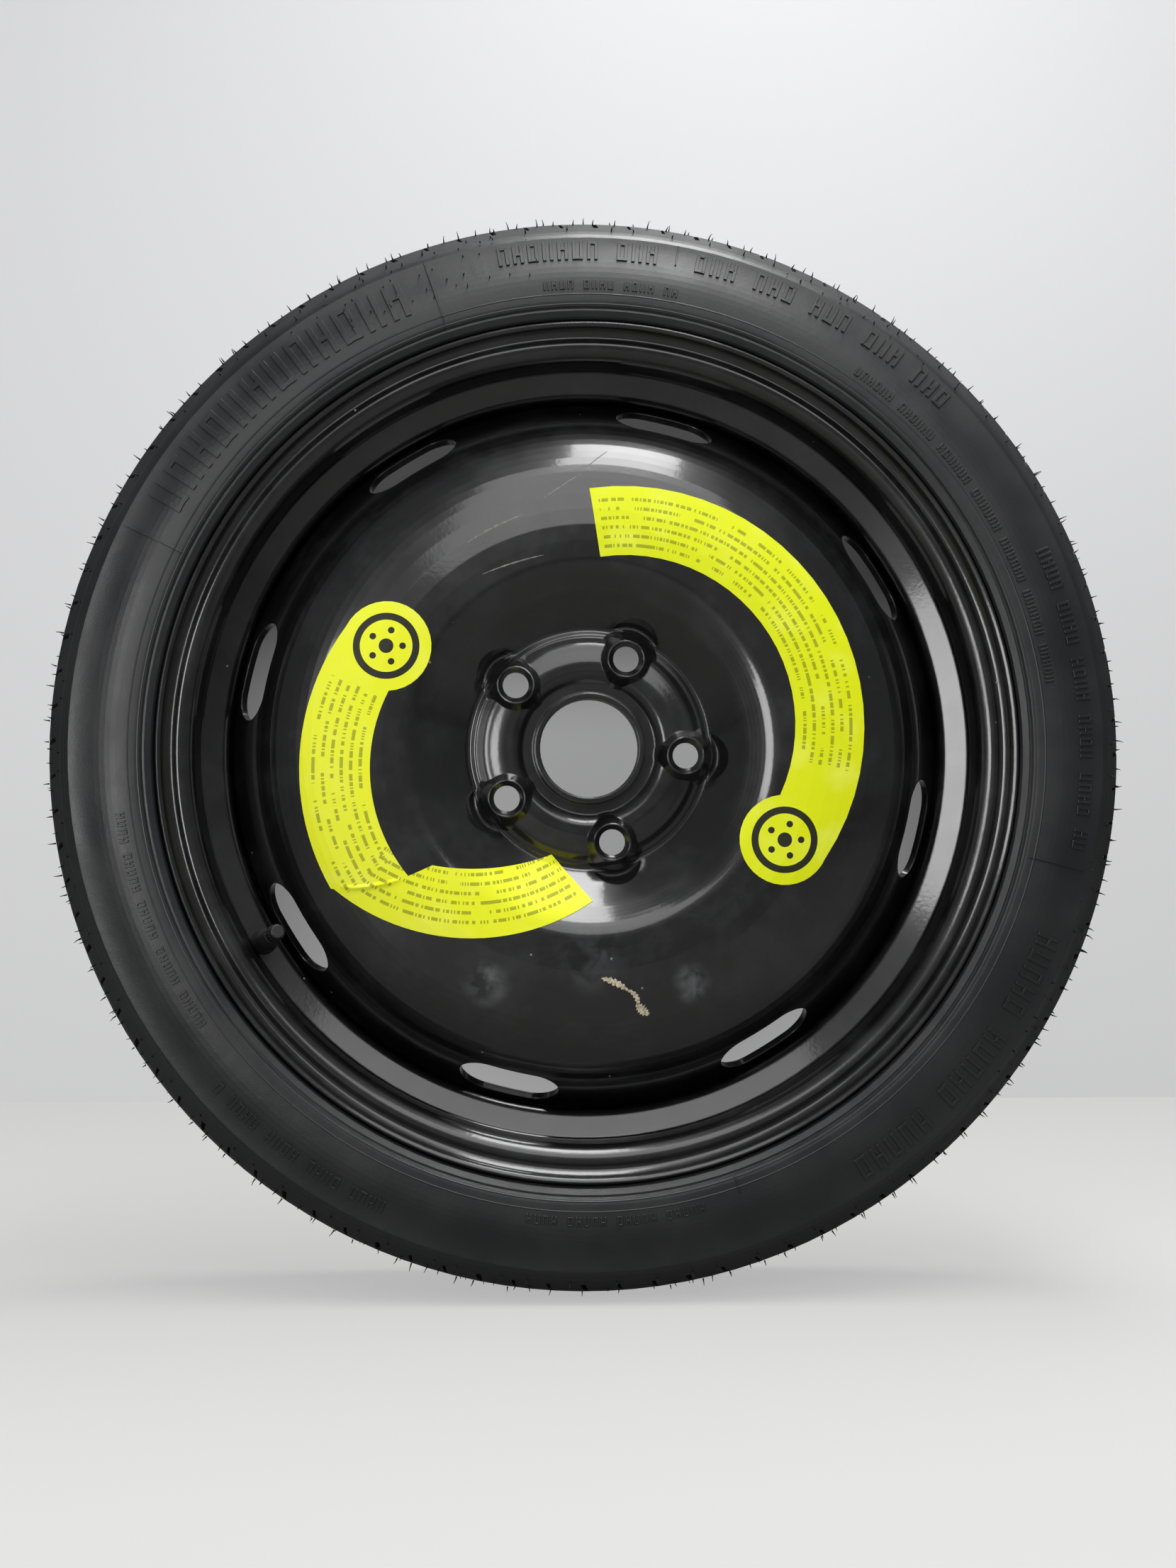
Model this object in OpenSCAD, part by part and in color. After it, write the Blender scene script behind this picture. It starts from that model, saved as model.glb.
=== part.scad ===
// Narrow temporary-use spare wheel: a pressed steel disc seated in a rolled steel rim,
// with its tyre, its snap-in valve and two foil labels.
// The wheel stands upright. Its axle lies along Y, its outer face looks towards -Y, and the
// origin is the centre of the bore on the face that meets the hub.
// Every module is drawn about Z with the outer face up, and is turned upright at the end.

/* [Tyre] */
// Outer diameter of the tyre
tyre_d = 630; // [624:1:636]
// Width of the tyre over its sidewalls
tyre_w = 125; // [121:1:129]
// Width of the tread band
tread_w = 88; // [84:1:92]
// How much lower the tread is at its edges than in the middle
tread_fall = 6.2; // [5.5:0.1:7]
// Thickness of the tyre under the tread
tread_t = 11; // [9:0.5:13]
// Thickness of the sidewall
wall_t = 6.2; // [5:0.2:8]
// Number of grooves that run round the tread
groove_n = 3; // [1:1:4]
// Width of a groove
groove_w = 7; // [4:0.5:8]
// Depth of the grooves and of the shoulder slots
groove_depth = 4.6; // [3:0.2:6]
// Number of slots round each shoulder
slot_n = 96; // [72:3:108]
// Width of a shoulder slot, every third one is wider by half
slot_w = 1.9; // [1.5:0.1:4]
// Slant of the shoulder slots across the tread
slot_slant = 14; // [0:1:20]

/* [Rim] */
// Diameter of the bead seats
rim_d = 462; // [456:0.5:468]
// Width between the flanges
rim_w = 88.9; // [84:0.1:93]
// Height of a flange over its bead seat
flange_h = 17.3; // [16.5:0.1:18]
// How far a flange curls out past its inner face
flange_reach = 12.5; // [11.6:0.1:13]
// Radius of the flange's curl on the tyre's side
curl_r = 9.5; // [9:0.1:10]
// Thickness of the rim sheet
rim_t = 3; // [2.6:0.1:3.4]
// Depth of the well under the bead seats
well_depth = 16.5; // [15.5:0.1:17.5]
// Distance from the rim's centre to the foot of the well's slopes
well_half = 12; // [11.5:0.1:12.5]
// Distance from the rim's centre to the head of the well's slopes
slope_half = 18; // [17.5:0.1:18.5]
// Height of the safety humps
hump_h = 1.4; // [0.8:0.1:1.8]

/* [Disc] */
// Distance from the rim's centre to the face that meets the hub
wheel_offset = 35; // [33:0.5:37]
// Thickness of the disc sheet
disc_t = 3.8; // [3.4:0.1:4.2]
// Diameter of the centre bore
bore_d = 57.1; // [56:0.1:58]
// Height of the collar round the bore
collar_h = 11; // [9:0.5:12]
// Diameter of the pad that meets the hub
pad_d = 142.4; // [141:0.2:146]
// Height of the raised band between the bolt holes
band_h = 3.4; // [2.4:0.1:4]
// Diameter of the shoulder where the dish meets the crown
crown_in_d = 192; // [188:1:196]
// Height of the crown over the hub face
crown_h = 27; // [25:0.2:29]
// How much lower the crown is at its inner shoulder
crown_rise = 1.8; // [1:0.1:3]
// Diameter of the crown's outer shoulder
crown_out_d = 362; // [356:1:366]
// How much lower the crown is at its outer shoulder
crown_fall = 8.6; // [7:0.2:10]
// Radius of the inner shoulder
shoulder_in_r = 27; // [20:1:30]
// Radius of the outer shoulder
shoulder_out_r = 56; // [46:1:60]
// Length of the disc's edge that is seated in the rim
seat_w = 8; // [7:0.5:9]
// Gap between the disc's edge and the rim
seam_gap = 0.1; // [0.05:0.05:0.3]

/* [Bolt holes] */
// Diameter of the bolt circle
pcd = 112; // [110:0.5:114]
// Number of bolt holes
bolt_n = 5; // [4:1:5]
// Diameter of a bolt hole
bolt_d = 15; // [14:0.1:16]
// Angle of the bolt hole that lines up with the valve
bolt_angle = 211.6; // [200:0.1:220]
// Radius of the ball that the bolt seats fit
ball_r = 13; // [12.5:0.1:14]
// Height of a bolt boss over the hub face
boss_h = 12; // [11:0.1:12.5]
// Radius of a boss at its foot
boss_foot_r = 17.4; // [17:0.1:18]
// Radius of the floor that is pressed flat round each bolt for a wheel brace
brace_r = 19.4; // [18.8:0.1:21]
// Flare of the wall round that floor
brace_flare = 0.6; // [0.4:0.05:0.8]

/* [Vent holes] */
// Number of vent holes
vent_n = 8; // [6:1:9]
// Width of a vent hole round the disc
vent_w = 59; // [50:1:62]
// Height of a vent hole along the disc's wall
vent_h = 32; // [26:1:34]
// Distance of the vent holes from the crown's outer shoulder
vent_drop = 35; // [33:0.5:37]
// Angle of the vent hole beside the valve
vent_angle = 211.6; // [200:0.1:220]

/* [Welds] */
// Number of weld beads between disc and rim
weld_n = 8; // [6:1:10]
// Length of a weld bead as an angle
weld_span = 17; // [10:1:20]
// Radius of a weld bead
weld_r = 2.6; // [2.2:0.1:3]

/* [Valve] */
// Angle of the valve round the wheel
valve_angle = 210.6; // [200:0.1:220]
// Diameter of the valve hole in the rim
valve_hole_d = 11.5; // [11.3:0.1:12]
// Diameter of the valve's foot inside the tyre
foot_d = 17; // [15:0.1:18]
// Diameter of the valve's bulge outside the rim
bulge_d = 15.4; // [14:0.1:16]
// Diameter of the rubber neck under the thread
neck_d = 9.6; // [9.4:0.1:10.2]
// Length of the valve outside the rim
valve_len = 33; // [31:0.5:35]
// Length of the bare thread at the valve's tip
thread_len = 10.5; // [10:0.5:12]
// Diameter of the thread
thread_d = 7.7; // [7.6:0.05:7.9]
// Diameter of the cap
cap_d = 10; // [9.6:0.1:10.8]
// Length of the cap
cap_len = 12; // [11.5:0.5:14]
// Number of grip ribs round the cap
cap_rib_n = 16; // [8:1:24]
// Diameter of the core's barrel
core_d = 3.6; // [3.5:0.05:3.7]
// Diameter of the core's pin
pin_d = 1.4; // [1.2:0.05:1.5]
// Diameter of the wire of the core's spring
wire_d = 0.3; // [0.25:0.05:0.35]
// Turns of the core's spring
spring_turns = 7; // [5:1:8]

/* [Labels] */
// Thickness of the label foil
foil_t = 0.25; // [0.15:0.05:0.4]
// Inner radius of a label's curved band
label_r = 97; // [94:0.5:100]
// Width of a label's band
band_w = 40.5; // [38:0.5:43]
// Diameter of a label's round end
roundel_d = 51.5; // [48:0.5:54]

/* [Hidden] */
$fn = 96;
arc_step = 9;
long_step = 5;
long_arc = 12;
// Small running and seating gaps
bead_gap = 0.15;
fit_gap = 0.1;
slide_gap = 0.05;
seat_gap = 0.02;
skin_gap = 0.05;
edge_round = 0.7;
past = 1;

// Rim, measured from its own centre
seat_r = rim_d / 2;
rim_half = rim_w / 2;
flange_z = rim_half + rim_t / 2;
flange_r = seat_r + flange_h - rim_t / 2;
tip_z = rim_half + flange_reach;
lip_drop = 1.2;
seat_fillet = 8;
seat_taper = 5;
seat_end = 26;
hump_z = 21.6;
well_r = seat_r - well_depth - rim_t / 2;
slope_r = seat_r - 3.2;
crest_r = well_r - rim_t / 2;

// Disc, measured from the hub face
rim_z = -wheel_offset;
pad_r = pad_d / 2;
sheet_z = disc_t / 2;
collar_r = bore_d / 2 + sheet_z;
bolt_r = pcd / 2;
crown_top = [(crown_in_d + crown_out_d) / 4 - 6, crown_h - sheet_z];
crown_in = [crown_in_d / 2, crown_top.y - crown_rise];
crown_out = [crown_out_d / 2, crown_top.y - crown_fall];
disc_r = crest_r - seam_gap - sheet_z;
seam_z = rim_z - 0.5;
disc_end = seam_z - seat_w - 2;

function unit(v) = v / norm(v);
function turned(v, a) = [v.x * cos(a) - v.y * sin(a), v.x * sin(a) + v.y * cos(a)];

// One rounded corner of an outline: each point is [x, y, radius], and no radius is a sharp corner
function corner(a, b, c) =
    let (p = [b.x, b.y],
         u = unit([a.x, a.y] - p),
         w = unit([c.x, c.y] - p),
         open = acos(max(-1, min(1, u * w))),
         rad = len(b) > 2 ? b[2] : 0)
    rad == 0 || open > 179.5 ? [p] :
    let (reach = rad / tan(open / 2),
         centre = p + unit(u + w) * rad / sin(open / 2),
         start = p + u * reach - centre,
         turn = (cross(u, w) > 0 ? -1 : 1) * (180 - open),
         n = max(2, ceil(abs(turn) / (rad < long_arc ? arc_step : long_step))))
    [for (i = [0:n]) centre + turned(start, turn * i / n)];

// An open path and a closed outline with rounded corners
function rounded_path(p) = let (e = len(p) - 1)
    [[p[0].x, p[0].y], for (i = [1:e - 1]) each corner(p[i - 1], p[i], p[i + 1]), [p[e].x, p[e].y]];
function rounded_loop(p) = let (n = len(p))
    [for (i = [0:n - 1]) each corner(p[(i + n - 1) % n], p[i], p[(i + 1) % n])];

// The path moved sideways by a distance, to its left where that is positive
function along(p, i) = unit(p[min(i + 1, len(p) - 1)] - p[max(i - 1, 0)]);
function bend(p, i) = i == 0 || i == len(p) - 1 ? 1 :
    sqrt((1 + unit(p[i] - p[i - 1]) * unit(p[i + 1] - p[i])) / 2);
function beside(p, d) = [for (i = [0:len(p) - 1])
    let (t = (i == 0 || i == len(p) - 1) ? along(p, i) :
         unit(unit(p[i] - p[i - 1]) + unit(p[i + 1] - p[i])))
    p[i] + [-t.y, t.x] * d / bend(p, i)];
function backwards(p) = [for (i = [len(p) - 1:-1:0]) p[i]];

// The end of a sheet, with its two edges eased
function sheet_end(p, t, at_end) =
    let (i = at_end ? len(p) - 1 : 0,
         d = along(p, i) * (at_end ? 1 : -1),
         s = [-d.y, d.x] * (t / 2 - edge_round))
    [for (side = [-1, 1]) for (a = side < 0 ? [-90, -45, 0] : [0, 45, 90])
        p[i] - d * edge_round + side * s + turned(d, a) * edge_round];

// The cut section of a sheet of thickness t that follows a path
module sheet(p, t) {
    e = len(p) - 1;
    inner = [for (i = [1:e - 1]) beside(p, t / 2)[i]];
    outer = [for (i = [1:e - 1]) beside(p, -t / 2)[i]];
    polygon(concat(sheet_end(p, t, false), outer, sheet_end(p, t, true), backwards(inner)));
}

module on_bolt_circle() {
    for (i = [0:bolt_n - 1])
        rotate(bolt_angle + i * 360 / bolt_n) translate([bolt_r, 0, 0]) children();
}

// Rim: from one curled flange over its bead seat and hump, through the well, to the other
function rim_side(s) = [
    [flange_r - lip_drop, s * tip_z],
    [flange_r, s * (tip_z - 2.2), 2],
    [flange_r, s * flange_z, curl_r - rim_t / 2],
    [seat_r - rim_t / 2, s * flange_z, seat_fillet],
    [seat_r - rim_t / 2 - (rim_half - seat_end) * tan(seat_taper), s * seat_end, 5],
    [seat_r - rim_t / 2 - (rim_half - seat_end) * tan(seat_taper) + hump_h, s * hump_z, 4],
    [slope_r, s * slope_half, 4],
    [well_r, s * well_half, 4.5]];
rim_path = rounded_path(concat(rim_side(1), backwards(rim_side(-1))));

module rim_section() {
    translate([0, rim_z]) sheet(rim_path, rim_t);
}

// The valve sits square on the well's outer slope
slope_dir = unit([slope_r - well_r, slope_half - well_half]);
slope_mid = [(slope_r + well_r) / 2, (slope_half + well_half) / 2];
valve_tilt = atan2(-slope_dir.y, slope_dir.x);

module at_valve() {
    rotate(valve_angle) translate([slope_mid.x, 0, rim_z + slope_mid.y])
        rotate([0, valve_tilt, 0]) children();
}

module holed_rim() {
    difference() {
        rotate_extrude() rim_section();
        at_valve() cylinder(d = valve_hole_d, h = 4 * rim_t, center = true);
    }
}

module rim_barrel() {
    color("#161718") holed_rim();
}

// Disc: collar, inner ring, raised band, outer ring, dish, crown and the wall to its seat
disc_path = rounded_path([
    [collar_r, collar_h],
    [collar_r, sheet_z, 2.6],
    [bolt_r - 17, sheet_z, 3.5],
    [bolt_r - 11.5, sheet_z + band_h, 4],
    [bolt_r + 4, sheet_z + band_h, 4],
    [bolt_r + 8.5, sheet_z, 3.5],
    [pad_r, sheet_z, 3.2],
    [crown_in.x, crown_in.y, shoulder_in_r],
    [crown_top.x, crown_top.y, 120],
    [crown_out.x, crown_out.y, shoulder_out_r],
    [disc_r, seam_z, 12],
    [disc_r, disc_end]]);

module disc_section() {
    sheet(disc_path, disc_t);
}

// The bore is sized down to the hub face, where the bend of the collar would leave a gap
module bore_edge() {
    rotate_extrude() polygon([[bore_d / 2, 0], [collar_r + 4, 0], [collar_r + 4, sheet_z],
        [collar_r, sheet_z + 4], [bore_d / 2, sheet_z + 4]]);
}

boss_top_r = 10.2;
boss_shell_z = 0.6;
cave_top = boss_h - 4.8;

module boss() {
    rotate_extrude() polygon(rounded_loop([
        [bolt_d / 2 - past, boss_h],
        [boss_top_r + 0.6, boss_h, 1],
        [boss_foot_r - 1.6, 5.4, 2.5],
        [boss_foot_r + 2.4, disc_t - 1, 0],
        [boss_foot_r - 0.4, boss_shell_z, 0],
        [bolt_d / 2 - past, boss_shell_z]]));
}

module boss_cave() {
    rotate_extrude() polygon([[0, -past], [boss_foot_r - 2.4, -past], [boss_foot_r - 2.4, 0],
        [boss_foot_r - 4, 1.6], [bolt_d / 2 + 1.4, cave_top], [0, cave_top]]);
}

// A ball seat that opens to the boss's top edge, and the bolt hole under it
module bolt_seat() {
    translate([0, 0, boss_h + sqrt(ball_r * ball_r - boss_top_r * boss_top_r)]) sphere(r = ball_r);
    cylinder(d = bolt_d, h = boss_h);
}

// Pressed room for a wheel brace at the foot of the dish
brace_end = bolt_r + brace_r + 3 * disc_t;
dish_slope = (crown_in.y - sheet_z) / (crown_in.x - pad_r);
brace_back_r = brace_r + disc_t * (sqrt(1 + brace_flare * brace_flare) - brace_flare);

module brace_bulge() {
    intersection() {
        on_bolt_circle()
            cylinder(r1 = brace_back_r, r2 = brace_back_r + brace_flare * crown_h, h = crown_h);
        rotate_extrude() polygon([[pad_r - 3, 0], [brace_end, 0],
            [brace_end, sheet_z + (brace_end - pad_r) * dish_slope],
            [pad_r, sheet_z], [pad_r - 3, sheet_z]]);
    }
}

module brace_pocket() {
    intersection() {
        on_bolt_circle() translate([0, 0, disc_t])
            cylinder(r1 = brace_r, r2 = brace_r + brace_flare * crown_h, h = crown_h);
        rotate_extrude() polygon([[pad_r + 0.4, disc_t], [brace_end, disc_t],
            [brace_end, crown_h], [pad_r + 0.4, crown_h]]);
    }
}

wall_dir = unit([disc_r - crown_out.x, seam_z - crown_out.y]);
wall_tilt = atan2(-wall_dir.y, wall_dir.x);

module vent_cut() {
    c = crown_out + wall_dir * vent_drop;
    side = vent_w - vent_h;
    for (i = [0:vent_n - 1])
        rotate(vent_angle + i * 360 / vent_n) translate([c.x, 0, c.y]) rotate([0, wall_tilt, 0])
            linear_extrude(height = 6 * disc_t, center = true) {
                square([vent_h, side], center = true);
                for (s = [-1, 1]) translate([0, s * side / 2]) circle(d = vent_h);
            }
}

module wheel_disc() {
    color("#161718") difference() {
        union() {
            difference() {
                union() {
                    rotate_extrude() disc_section();
                    brace_bulge();
                }
                brace_pocket();
                vent_cut();
            }
            bore_edge();
            on_bolt_circle() boss();
        }
        on_bolt_circle() boss_cave();
        on_bolt_circle() bolt_seat();
    }
}

// Short fillet welds in the corner between the disc's edge and the rim, on the inner side
module weld_beads() {
    color("#1a1b1c") for (i = [0:weld_n - 1])
        rotate(vent_angle + (i + 0.5) * 360 / weld_n - weld_span / 2)
            rotate_extrude(angle = weld_span) difference() {
                translate([crest_r - 1.4, disc_end - 1.1]) circle(r = weld_r);
                rim_section();
                disc_section();
            }
}

// Tyre
tyre_r = tyre_d / 2;
tyre_half = tyre_w / 2;
tread_half = tread_w / 2;
curl_c = [seat_r + flange_h - curl_r, rim_half + curl_r];
lip_r = seat_r + flange_h + 0.9;
bead_w = 17;
bead_drop = bead_w * tan(seat_taper);

// The sidewall's points and rounds keep their places when its height changes
wall_h = tyre_r - lip_r;
drop = wall_h / 65.8;
edge_r = tyre_r - tread_fall * drop;
step_r = edge_r - 12.6 * drop;
guard_r = lip_r + 9.6 * drop;
wide_r = guard_r + (step_r - guard_r) * 0.44;
guard_in = 2.6;
wall_round = pow(step_r - guard_r, 2) / (13.4 * guard_in);

function tyre_outside(s) = [
    [tyre_r, s * tread_half * 0.5, 110],
    [edge_r, s * tread_half, 9 * drop],
    [edge_r - 5.6 * drop, s * (tread_half + 8), 6 * drop],
    [edge_r - 11.4 * drop, s * (tyre_half - 4), 9 * drop],
    [step_r, s * (tyre_half - 3.2), 0.6 * drop],
    [wide_r, s * tyre_half, wall_round],
    [guard_r, s * (tyre_half - guard_in), 6 * drop],
    [lip_r + 6.8 * drop, s * (tyre_half - 3.4), 0.6 * drop],
    [lip_r + 5.9 * drop, s * (tyre_half - 5), 0.5 * drop],
    [lip_r + 4.4 * drop, s * (tyre_half - 4.7), 0.5 * drop],
    [lip_r + 1.2, s * (tyre_half - 6.6), 0.8 * drop],
    [lip_r, s * (curl_c.y + 0.4), 0.5],
    [lip_r, s * (rim_half - bead_gap), curl_r + 0.6],
    [seat_r + bead_gap, s * (rim_half - bead_gap), seat_fillet],
    [seat_r + bead_gap - bead_drop, s * (rim_half - bead_w), 1.2]];

function tyre_inside(s) = [
    [seat_r + 7, s * (rim_half - bead_w + 2), 4],
    [lip_r + 2, s * (rim_half + 1.5), 10],
    [wide_r, s * (tyre_half - wall_t), wall_round * 0.7],
    [edge_r - 14 * drop, s * (tyre_half - wall_t - 4), 14 * drop],
    [tyre_r - tread_t - 1.5, s * (tread_half - 9), 24 * drop]];

module tyre_section() {
    difference() {
        polygon(rounded_loop(concat(tyre_outside(1), tyre_inside(1),
            backwards(tyre_inside(-1)), backwards(tyre_outside(-1)))));
        for (i = [0:groove_n - 1])
            translate([tyre_r - groove_depth, (i - (groove_n - 1) / 2) * tread_w / (groove_n + 0.5)
                - groove_w / 2]) square([2 * groove_depth, groove_w]);
    }
}

// Slots that cross each shoulder and run out on the sidewall
slot_start = tread_half - 12;
slot_len = 16.5;
slot_fall = 19 * drop;
slot_depth = groove_depth * drop;

module shoulder_slots() {
    for (s = [0, 1]) mirror([0, 0, s]) for (i = [0:slot_n - 1])
        rotate((i + s / 2) * 360 / slot_n) translate([edge_r - slot_depth, 0, slot_start])
            rotate([slot_slant, -slot_fall, 0])
                translate([0, -slot_w * (i % 3 == 0 ? 0.75 : 0.5), 0])
                    cube([4 * groove_depth, slot_w * (i % 3 == 0 ? 1.5 : 1), slot_len]);
}

module tyre() {
    color("#3c3d3f") translate([0, 0, rim_z]) difference() {
        rotate_extrude() tyre_section();
        shoulder_slots();
    }
}

// Valve: rubber body squeezed in the rim hole, brass stem, screwed-in core and cap
face = rim_t / 2 + seat_gap;
tip = rim_t / 2 + valve_len;
foot_len = 5;
stem_d = 5.6;
stem_end = -face - foot_len + 1;
neck_top = tip - thread_len;
bore_top_r = core_d / 2 + 0.75;
bore_mid_r = core_d / 2 + 0.2;
bore_low_r = core_d / 2 - 0.2;
core_seat = tip - 10;
core_low = tip - 19;

module valve_body() {
    color("#222324") difference() {
        at_valve() rotate_extrude() polygon(rounded_loop([
            [stem_d / 2, -face - foot_len],
            [foot_d / 2 - 1.6, -face - foot_len, 1],
            [foot_d / 2, -face - foot_len * 0.5, 1.2],
            [foot_d / 2 - 0.4, -face, 0],
            [valve_hole_d / 2 - fit_gap, -face, 0],
            [valve_hole_d / 2 - fit_gap, face, 0],
            [bulge_d / 2, face, 0.6],
            [bulge_d / 2, face + 2.2, 1.4],
            [bulge_d / 2 - 1.8, face + 5.4, 3],
            [neck_d / 2 + 0.7, face + 14, 8],
            [neck_d / 2, neck_top, 0.5],
            [stem_d / 2, neck_top, 0]]));
        holed_rim();
    }
}

module valve_stem() {
    color("#b59a56") at_valve() rotate_extrude() polygon([
        [bore_low_r - 0.3, stem_end],
        [stem_d / 2 - slide_gap, stem_end],
        [stem_d / 2 - slide_gap, neck_top + slide_gap],
        [thread_d / 2, neck_top + slide_gap],
        [thread_d / 2, tip - 0.6],
        [thread_d / 2 - 0.6, tip],
        [bore_top_r, tip],
        [bore_top_r, core_seat + 1],
        [bore_mid_r, core_seat],
        [bore_mid_r, core_low - 4],
        [bore_low_r - 0.3, core_low - 5]]);
}

// The core's barrel hangs from its threaded head and ends in the edge that the cup closes on
head_top = tip - 0.9;
head_len = 4;
shelf_z = core_low + 1.6;
pin_r = pin_d / 2;
barrel_bore_r = core_d / 2 - 0.45;

module core_barrel() {
    color("#b8a060") at_valve() rotate_extrude() polygon([
        [pin_r + slide_gap, head_top - head_len - 0.8],
        [pin_r + slide_gap, head_top - 1.4],
        [bore_top_r - 0.9, head_top],
        [bore_top_r - slide_gap, head_top],
        [bore_top_r - slide_gap, head_top - head_len],
        [core_d / 2, head_top - head_len],
        [core_d / 2, core_low],
        [pin_r + 0.35, core_low],
        [pin_r + 0.35, core_low + 0.8],
        [pin_r + slide_gap, shelf_z - 0.4],
        [pin_r + slide_gap, shelf_z],
        [barrel_bore_r, shelf_z],
        [barrel_bore_r, head_top - head_len - 0.8]]);
}

module core_gasket() {
    color("#7a2f2a") at_valve() rotate_extrude() polygon([
        [core_d / 2 + seat_gap, core_seat - 0.8],
        [bore_mid_r - seat_gap, core_seat - 0.8],
        [bore_mid_r - seat_gap, core_seat + seat_gap],
        [bore_top_r - 2 * seat_gap, core_seat + 1 + seat_gap],
        [bore_top_r - 2 * seat_gap, core_seat + 1.8],
        [core_d / 2 + seat_gap, core_seat + 1.8]]);
}

collar_z = head_top - head_len - 1.4;
cup_gap = 0.02;

module core_pin() {
    color("#c9c4b0") at_valve() rotate_extrude() polygon([
        [0, core_low - 3],
        [pin_r, core_low - 3],
        [pin_r, collar_z - 0.6],
        [barrel_bore_r - 0.2, collar_z - 0.6],
        [barrel_bore_r - 0.2, collar_z],
        [pin_r, collar_z],
        [pin_r, tip - 0.5],
        [pin_r - 0.2, tip - 0.3],
        [0, tip - 0.3]]);
}

module core_cup() {
    color("#2a2a2a") at_valve() rotate_extrude() polygon([
        [pin_r + seat_gap, core_low - 2.6],
        [core_d / 2 - 0.5, core_low - 2.6],
        [core_d / 2 - 0.15, core_low - 2],
        [core_d / 2 - 0.15, core_low - cup_gap],
        [pin_r + seat_gap, core_low - cup_gap]]);
}

// The spring holds the pin up: a helix between the barrel's shelf and the pin's collar
spring_r = (pin_r + barrel_bore_r) / 2 - 0.02;
spring_low = shelf_z + wire_d / 2 + seat_gap;
spring_high = collar_z - 0.6 - wire_d / 2 - seat_gap;
coil_steps = 14;
wire_sides = 6;

function coil_ring(i) =
    let (n = spring_turns * coil_steps,
         a = i * 360 / coil_steps,
         z = spring_low + (spring_high - spring_low) * i / n)
    [for (k = [0:wire_sides - 1])
        let (b = k * 360 / wire_sides, r = spring_r + wire_d / 2 * cos(b))
        [r * cos(a), r * sin(a), z + wire_d / 2 * sin(b)]];

module core_spring() {
    n = spring_turns * coil_steps;
    m = wire_sides;
    color("#a8a8a8") at_valve() polyhedron(
        points = [for (i = [0:n]) each coil_ring(i)],
        faces = concat(
            [[for (k = [0:m - 1]) k]],
            [for (i = [0:n - 1]) for (k = [0:m - 1])
                [i * m + k, (i + 1) * m + k, (i + 1) * m + (k + 1) % m, i * m + (k + 1) % m]],
            [[for (k = [m - 1:-1:0]) n * m + k]]));
}

cap_low = neck_top + 0.4;
cap_top = cap_low + cap_len;
cap_bore_r = thread_d / 2 + slide_gap;
seal_t = 0.9;

module valve_cap() {
    color("#1c1c1d") at_valve() {
        rotate_extrude() polygon(rounded_loop([
            [cap_bore_r, cap_low],
            [cap_d / 2 - 0.4, cap_low, 0.3],
            [cap_d / 2 - 0.4, cap_top - 3, 0],
            [cap_d / 2 - 0.9, cap_top, 1],
            [0, cap_top, 0],
            [0, tip + 0.3 + seal_t, 0],
            [cap_bore_r, tip + 0.3 + seal_t, 0]]));
        for (i = [0:cap_rib_n - 1])
            rotate(i * 360 / cap_rib_n) translate([cap_d / 2 - 0.4, 0, cap_low + 0.8])
                cylinder(r = 0.4, h = cap_len - 4.4);
    }
}

module cap_seal() {
    color("#303030") at_valve() translate([0, 0, tip + 0.3]) difference() {
        cylinder(r = cap_bore_r - seat_gap, h = seal_t - seat_gap);
        translate([0, 0, -past]) cylinder(r = pin_r + 0.6, h = seal_t + 2 * past);
    }
}

// Labels: bands of foil with a round end, laid on the crown and, on the left, down the dish
foil_path = beside([for (p = disc_path) if (p.x > bolt_r + 6 && p.y > 0) p],
    sheet_z + skin_gap + foil_t / 2);
band_r = label_r + band_w;
round_at = label_r + band_w * 0.375;

function arc(c, r, a, b) = [for (i = [0:24])
    let (t = a + (b - a) * i / 24) c + r * [cos(t), sin(t)]];
function heading(c, p) = atan2(p.y - c.y, p.x - c.x);

// The angle at which the round end about q cuts a band edge of radius r about c
function meet(c, q, r) = heading(c, q)
    + acos((pow(norm(q - c), 2) + r * r - pow(roundel_d / 2, 2)) / (2 * norm(q - c) * r));
function cut_angle(c, q, r) = heading(q, c + r * [cos(meet(c, q, r)), sin(meet(c, q, r))]);

module foil() {
    rotate(300) rotate_extrude() polygon(concat(beside(foil_path, -foil_t / 2),
        backwards(beside(foil_path, foil_t / 2))));
}

// A label's outline is drawn flat, in parts of its band's radius, and cut down through the foil
module label(outline) {
    intersection() {
        foil();
        linear_extrude(height = 2 * crown_h) polygon(outline);
    }
}

right_c = label_r * [0.2103, 0.1361];
right_start = 98.8;
right_q = right_c + round_at * [cos(-36.3), sin(-36.3)];

module label_right() {
    color("#eeff10") label(concat(
        arc(right_c, band_r, right_start, meet(right_c, right_q, band_r)),
        arc(right_q, roundel_d / 2, cut_angle(right_c, right_q, band_r),
            cut_angle(right_c, right_q, label_r) - 360),
        arc(right_c, label_r, meet(right_c, right_q, label_r), right_start)));
}

// The left label is creased where its band turns down into the dish
left_c = label_r * [-0.2948, -0.1268];
left_q = left_c + round_at * [cos(141.8), sin(141.8)];
crease = [210, 219.4];
tail_c = label_r * [-0.6969, 0.1588];
tail_r = label_r * 1.2825;
tail_out = [231, 303.7];
tail_in_c = label_r * [-0.6928, 0.6021];
tail_in_r = label_r * 1.3216;
tail_in = [290.8, 259.8];

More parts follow.
